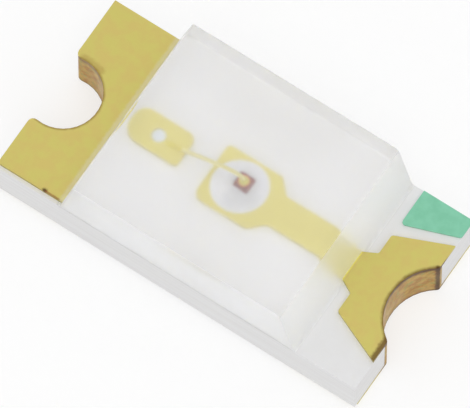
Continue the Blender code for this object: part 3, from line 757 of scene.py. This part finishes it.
def wire_finish(sizes):
    """Soft pale gold along the loop, deeper on the ball and where the wire is pressed onto the pad."""
    made, tree, shader, coordinates = new_material("wire_gold")
    place = coordinates["Object"]
    grain = use(tree, grain_group(), Vector=place, Patch_Scale=50000.0, Grain_Scale=300000.0)
    drawn = blend(tree, grain["Patches"], sizes.gold, [c * 0.92 for c in sizes.gold])
    end = sizes.stitch_x + sizes.stitch_length / 2
    along = add(tree, "SeparateXYZ", {0: place}).outputs[0]
    flat = ramp(tree, along, end - 12 * MICRON, end + 24 * MICRON, 1.0, 0.0)
    ball = tuple(float(c) for c in wire_ends(sizes)[0])
    away = add(tree, "VectorMath", {0: place, 1: ball}, operation="DISTANCE").outputs[1]
    near = ramp(tree, away, sizes.ball_radius, sizes.ball_radius * 1.5, 1.0, 0.0)
    tone = blend(tree, near, blend(tree, flat, drawn, sizes.pressed), sizes.ball)
    tree.links.new(tone, shader.inputs["Base Color"])
    tree.links.new(ramp(tree, grain["Patches"], 0.0, 1.0, 0.46, 0.54), shader.inputs["Roughness"])
    shader.inputs["Metallic"].default_value = 0.35
    tree.links.new(bump(tree, grain["Grain"], 0.3), shader.inputs["Normal"])
    return made


def wire_ends(sizes):
    """Where the wire's centre line starts in the ball and ends on the stitch, and its level direction."""
    middle = (CONTACT_LOW + CONTACT_HIGH) / 2
    start = np.array([middle.x, middle.y, CONTACT_HIGH.z + SEAT + sizes.ball_height / 2])
    end = np.array([sizes.stitch_x, sizes.stitch_y, WIRE_FOOT + sizes.end_radius])
    run = (end - start) * [1, 1, 0]
    return start, end, run / np.linalg.norm(run)


def loop_skin(sizes):
    """The loop: a round section of radius r(t), which tapers over the last 0.14 of t, carried along the
    cubic curve with the control points ball, ball + rise, stitch - reach and stitch. The section lies in
    the plane of the curve's normal n and the level direction b across it: C(t) + r(t) (b cos a + n sin a)."""
    start, end, run = wire_ends(sizes)
    controls = np.array([start, start + [0, 0, sizes.rise], end - run * sizes.reach, end])
    t = np.linspace(0, 1, 121)[:, None]
    s = 1 - t
    weights = np.hstack([s ** 3, 3 * s * s * t, 3 * s * t * t, t ** 3])
    slopes = np.hstack([-3 * s * s, 3 * s * s - 6 * s * t, 6 * s * t - 3 * t * t, 3 * t * t])
    line = weights @ controls
    along = slopes @ controls
    along /= np.linalg.norm(along, axis=1, keepdims=True)
    level = np.cross(run, [0, 0, 1.0])
    normal = np.cross(along, level)
    radius = sizes.end_radius + (sizes.radius - sizes.end_radius) * np.clip(s / 0.14, 0, 1)
    angle = np.linspace(0, 2 * np.pi, 32, endpoint=False)
    across = np.cos(angle)[None, :, None] * level
    upwards = np.sin(angle)[None, :, None] * normal[:, None, :]
    return shell(line[:, None, :] + radius[:, :, None] * (across + upwards))


def ball_skin(sizes):
    """The ball: a disc with a half round side and a hollow neck that narrows to the wire, turned about
    the upright through the start of the wire."""
    start = wire_ends(sizes)[0]
    low = start[2] - sizes.ball_height / 2
    half = sizes.ball_height / 2
    side = bend((sizes.ball_radius - half, low + half), half, -90, 90, 14)
    hollow = 9 * MICRON
    neck = bend((sizes.radius + hollow, low + sizes.ball_height + hollow), hollow, -90, -172, 8)
    return shell(turned(np.vstack([[(half, low)], side, neck]), start, 64))


def stitch_skin(sizes):
    """The stitch: across it a flat-bottomed bow, w(s) wide and h(s) high, carried along the wire's
    direction; w narrows as the root of 1 - s^2 at both ends, and h falls from the wire to the tip."""
    run = wire_ends(sizes)[2]
    level = np.cross([0, 0, 1.0], run)
    s = np.sin(np.linspace(-0.96, 0.96, 41) * np.pi / 2)
    wide = sizes.stitch_width / 2 * np.sqrt(1 - s ** 2)
    high = sizes.stitch_thickness * np.sqrt(1 - s ** 2) * (1 - 0.25 * s)
    angle = np.linspace(0, 2 * np.pi, 32, endpoint=False)
    bow = np.maximum(np.sin(angle), -0.05)
    foot = np.array([sizes.stitch_x, sizes.stitch_y, WIRE_FOOT])
    line = foot + s[:, None] * sizes.stitch_length / 2 * run
    across = wide[:, None, None] * np.cos(angle)[None, :, None] * level
    upwards = high[:, None, None] * bow[None, :, None] * np.array([0, 0, 1.0])
    return shell(line[:, None, :] + across + upwards)


class LED_OT_epoxy(bpy.types.Operator):
    """Make the moulded epoxy body"""
    bl_idname = "led.epoxy"
    bl_label = "Epoxy body"

    def execute(self, context):
        sizes = context.scene.led_epoxy
        skin, chosen = epoxy_skin(sizes)
        top = milky_epoxy("milky_epoxy", sizes.top, 0.25, 0.80, 0)
        sawn = milky_epoxy("sawn_epoxy", sizes.sawn, 0.3, 0.70, 0.8)
        ends = milky_epoxy("end_epoxy", sizes.ends, 0.55, 0.66, 0)
        piece("milky_epoxy", skin, [top, sawn, ends], "epoxy_body", sharp=30, chosen=chosen)
        return {"FINISHED"}


def epoxy_section(sizes):
    """The body's section as (x, z), anticlockwise from its low left corner, with leaning ends, rounded
    upper edges and hollow feet. A rounding of radius r between two straight lines starts
    r tan(turn / 2) before they would meet."""
    low, base, high = BOARD_TOP - sizes.sink, BOARD_TOP + SEAT, BODY_HIGH.z
    lean = math.degrees(math.atan2(sizes.slope, high - base))
    tangent = math.tan(math.radians(90 - lean) / 2)
    right = sizes.foot_right - sizes.slope
    left = sizes.foot_left + sizes.slope
    radius = sizes.right_radius
    upper_right = bend((right - radius * tangent, high - radius), radius, lean, 90)
    radius = sizes.left_radius
    upper_left = bend((left + radius * tangent, high - radius), radius, 90, 180 - lean)
    foot = sizes.foot_radius
    hollow = foot * tangent
    foot_right = bend((sizes.foot_right + hollow, base + foot), foot, 270, 180 + lean, 6)
    foot_left = bend((sizes.foot_left - hollow, base + foot), foot, -lean, -90, 6)
    return np.vstack([
        [(sizes.foot_left - hollow, low), (sizes.foot_right + hollow, low)],
        foot_right, upper_right, upper_left, foot_left,
    ])


def epoxy_skin(sizes):
    """The body's section carried across the board, and the finish of each of its faces. At each sawn side
    the section shrinks by e (1 - cos a) while it goes on by e sin a, a quarter turn. Its corners shrink
    along the sum of the outward normals m and n of their two lines, over 1 + m n."""
    section = epoxy_section(sizes)
    before = section - np.roll(section, 1, axis=0)
    after = np.roll(section, -1, axis=0) - section
    before /= np.linalg.norm(before, axis=1, keepdims=True)
    after /= np.linalg.norm(after, axis=1, keepdims=True)
    out = np.stack([before[:, 1] + after[:, 1], -before[:, 0] - after[:, 0]], axis=-1)
    out /= (1 + (before * after).sum(axis=1))[:, None]
    angle = np.radians(np.linspace(90, 0, 6))
    shrink = sizes.sawn_radius * (1 - np.cos(angle))
    reach = BODY_HIGH.y - sizes.sawn_radius * (1 - np.sin(angle))
    insets = np.concatenate([shrink, shrink[::-1]])
    places = np.concatenate([-reach, reach[::-1]])
    flat = section[None] - insets[:, None, None] * out[None]
    rings = np.stack([flat[..., 0], np.broadcast_to(places[:, None], flat.shape[:2]), flat[..., 1]], axis=-1)
    vertices, faces = shell(rings, closed=False)
    around = len(section)
    faces = [face[::-1] for face in faces]
    faces.append(list(range(around)))
    faces.append(list(range(len(vertices) - 1, len(vertices) - around - 1, -1)))
    # Between the two rounded sides lies one long row of faces: the ends where they are steep or low
    row = (len(angle) - 1) * around
    steep = np.abs(after[:, 1]) > 0.9
    at_foot = section[:, 1] < BOARD_TOP + SEAT + sizes.foot_radius
    chosen = np.full(len(faces), SAWN, np.int32)
    chosen[row:row + around] = np.where(steep | at_foot, ENDS, TOP)
    return (vertices, faces), chosen


class LED_OT_stage(bpy.types.Operator):
    """Make the floor, the light and the camera"""
    bl_idname = "led.stage"
    bl_label = "Floor, light and camera"

    def execute(self, context):
        sizes = context.scene.led_stage
        scene = context.scene
        scene.view_settings.view_transform = "Standard"
        set_light_paths(scene.cycles)
        make_floor(sizes)
        make_light(sizes)
        scene.camera = make_camera(sizes)
        return {"FINISHED"}


def set_light_paths(cycles):
    """Paths long enough for the milky epoxy, where light goes to and fro between white walls; short
    paths or blurred gloss would lose light there."""
    cycles.blur_glossy = 0.0
    cycles.max_bounces = 32
    cycles.diffuse_bounces = 16
    cycles.glossy_bounces = 16
    cycles.transmission_bounces = 32


def seen_by_eye(tree):
    """1 for what the camera sees, directly or in metal and glass, and 0 for the light on the part."""
    path = add(tree, "LightPath").outputs
    seen = maths(tree, "MAXIMUM", path["Is Camera Ray"], path["Is Glossy Ray"])
    return maths(tree, "MAXIMUM", seen, path["Is Transmission Ray"])


def make_floor(sizes):
    """A pale floor for the light on the part, and a nearly white one with a soft shadow for the eye."""
    mesh = bpy.data.meshes.new("floor")
    reach, level = 0.5, -SEAT
    corners = [(-reach, -reach, level), (reach, -reach, level), (reach, reach, level), (-reach, reach, level)]
    mesh.from_pydata(corners, [], [(0, 1, 2, 3)])
    floor = bpy.data.objects.new("floor", mesh)
    bpy.context.scene.collection.objects.link(floor)
    made, tree, shader, _ = new_material("floor_white")
    seen = seen_by_eye(tree)
    tree.links.new(blend(tree, seen, sizes.floor, [sizes.shadow] * 3), shader.inputs["Base Color"])
    glow = [1 - sizes.shadow] * 3
    tree.links.new(blend(tree, seen, (0, 0, 0), glow), shader.inputs["Emission Color"])
    shader.inputs["Emission Strength"].default_value = 1.0
    shader.inputs["Roughness"].default_value = 1.0
    shader.inputs["Specular IOR Level"].default_value = 0.0
    mesh.materials.append(made)


def make_light(sizes):
    """Even light from all round, and a soft lamp whose level is its share on a face turned to it."""
    world = bpy.data.worlds.new("soft_sky")
    bpy.context.scene.world = world
    world.use_nodes = True
    tree = world.node_tree
    background = tree.nodes["Background"]
    background.inputs["Color"].default_value = (1, 1, 1, 1)
    strength = add(tree, "MapRange", {"Value": seen_by_eye(tree), "To Min": sizes.sky, "To Max": 1.0})
    tree.links.new(strength.outputs[0], background.inputs["Strength"])
    lamp = bpy.data.lights.new("soft_lamp", "AREA")
    lamp.shape = "SQUARE"
    lamp.size = sizes.lamp_size
    place = Vector((*LAMP_LEAN, 1.0)) * sizes.lamp_height
    facing = place.normalized().z
    lamp.energy = sizes.lamp_level * math.pi ** 2 * place.length_squared / facing
    made = bpy.data.objects.new("soft_lamp", lamp)
    made.location = place
    made.rotation_mode = "QUATERNION"
    made.rotation_quaternion = place.to_track_quat("Z", "Y")
    bpy.context.scene.collection.objects.link(made)


def make_camera(sizes):
    """A camera on the line of sight fitted to the photograph's straight edges."""
    a, e = sizes.azimuth, sizes.elevation
    right = Vector((math.cos(a), math.sin(a), 0))
    back = Vector((math.sin(a) * math.cos(e), -math.cos(a) * math.cos(e), math.sin(e)))
    up = back.cross(right)
    aim = Vector((0, 0, sizes.aim_height)) + right * sizes.aim_right - up * sizes.aim_down
    data = bpy.data.cameras.new("photo_camera")
    data.lens = data.sensor_width * sizes.distance / sizes.view_width
    data.clip_start = sizes.distance * 0.5
    data.clip_end = sizes.distance * 8
    made = bpy.data.objects.new("photo_camera", data)
    made.matrix_world = Matrix.Translation(aim + back * sizes.distance) @ Matrix(
        (right, up, back)
    ).transposed().to_4x4()
    bpy.context.scene.collection.objects.link(made)
    return made


class LED_PT_looks(bpy.types.Panel):
    """A button for each step and a field for each size and colour"""
    bl_idname = "LED_PT_looks"
    bl_label = "Chip LED"
    bl_space_type = "VIEW_3D"
    bl_region_type = "UI"
    bl_category = "Chip LED"

    def draw(self, context):
        for operator in OPERATORS:
            self.layout.operator(operator.bl_idname)
        for name, group_type in GROUPS.items():
            box = self.layout.box()
            for key in group_type.__annotations__:
                box.prop(getattr(context.scene, name), key)


OPERATORS = (LED_OT_board, LED_OT_plating, LED_OT_die, LED_OT_wire, LED_OT_epoxy, LED_OT_stage)
CLASSES = (*GROUPS.values(), *OPERATORS, LED_PT_looks)


def register():
    for each in CLASSES:
        bpy.utils.register_class(each)
    for name, group_type in GROUPS.items():
        setattr(bpy.types.Scene, name, PointerProperty(type=group_type))


def unregister():
    for name in GROUPS:
        delattr(bpy.types.Scene, name)
    for each in reversed(CLASSES):
        bpy.utils.unregister_class(each)


def main():
    register()
    bpy.ops.led.board()
    bpy.ops.led.plating()
    bpy.ops.led.die()
    bpy.ops.led.wire()
    bpy.ops.led.epoxy()
    bpy.ops.led.stage()


if __name__ == "__main__":
    main()
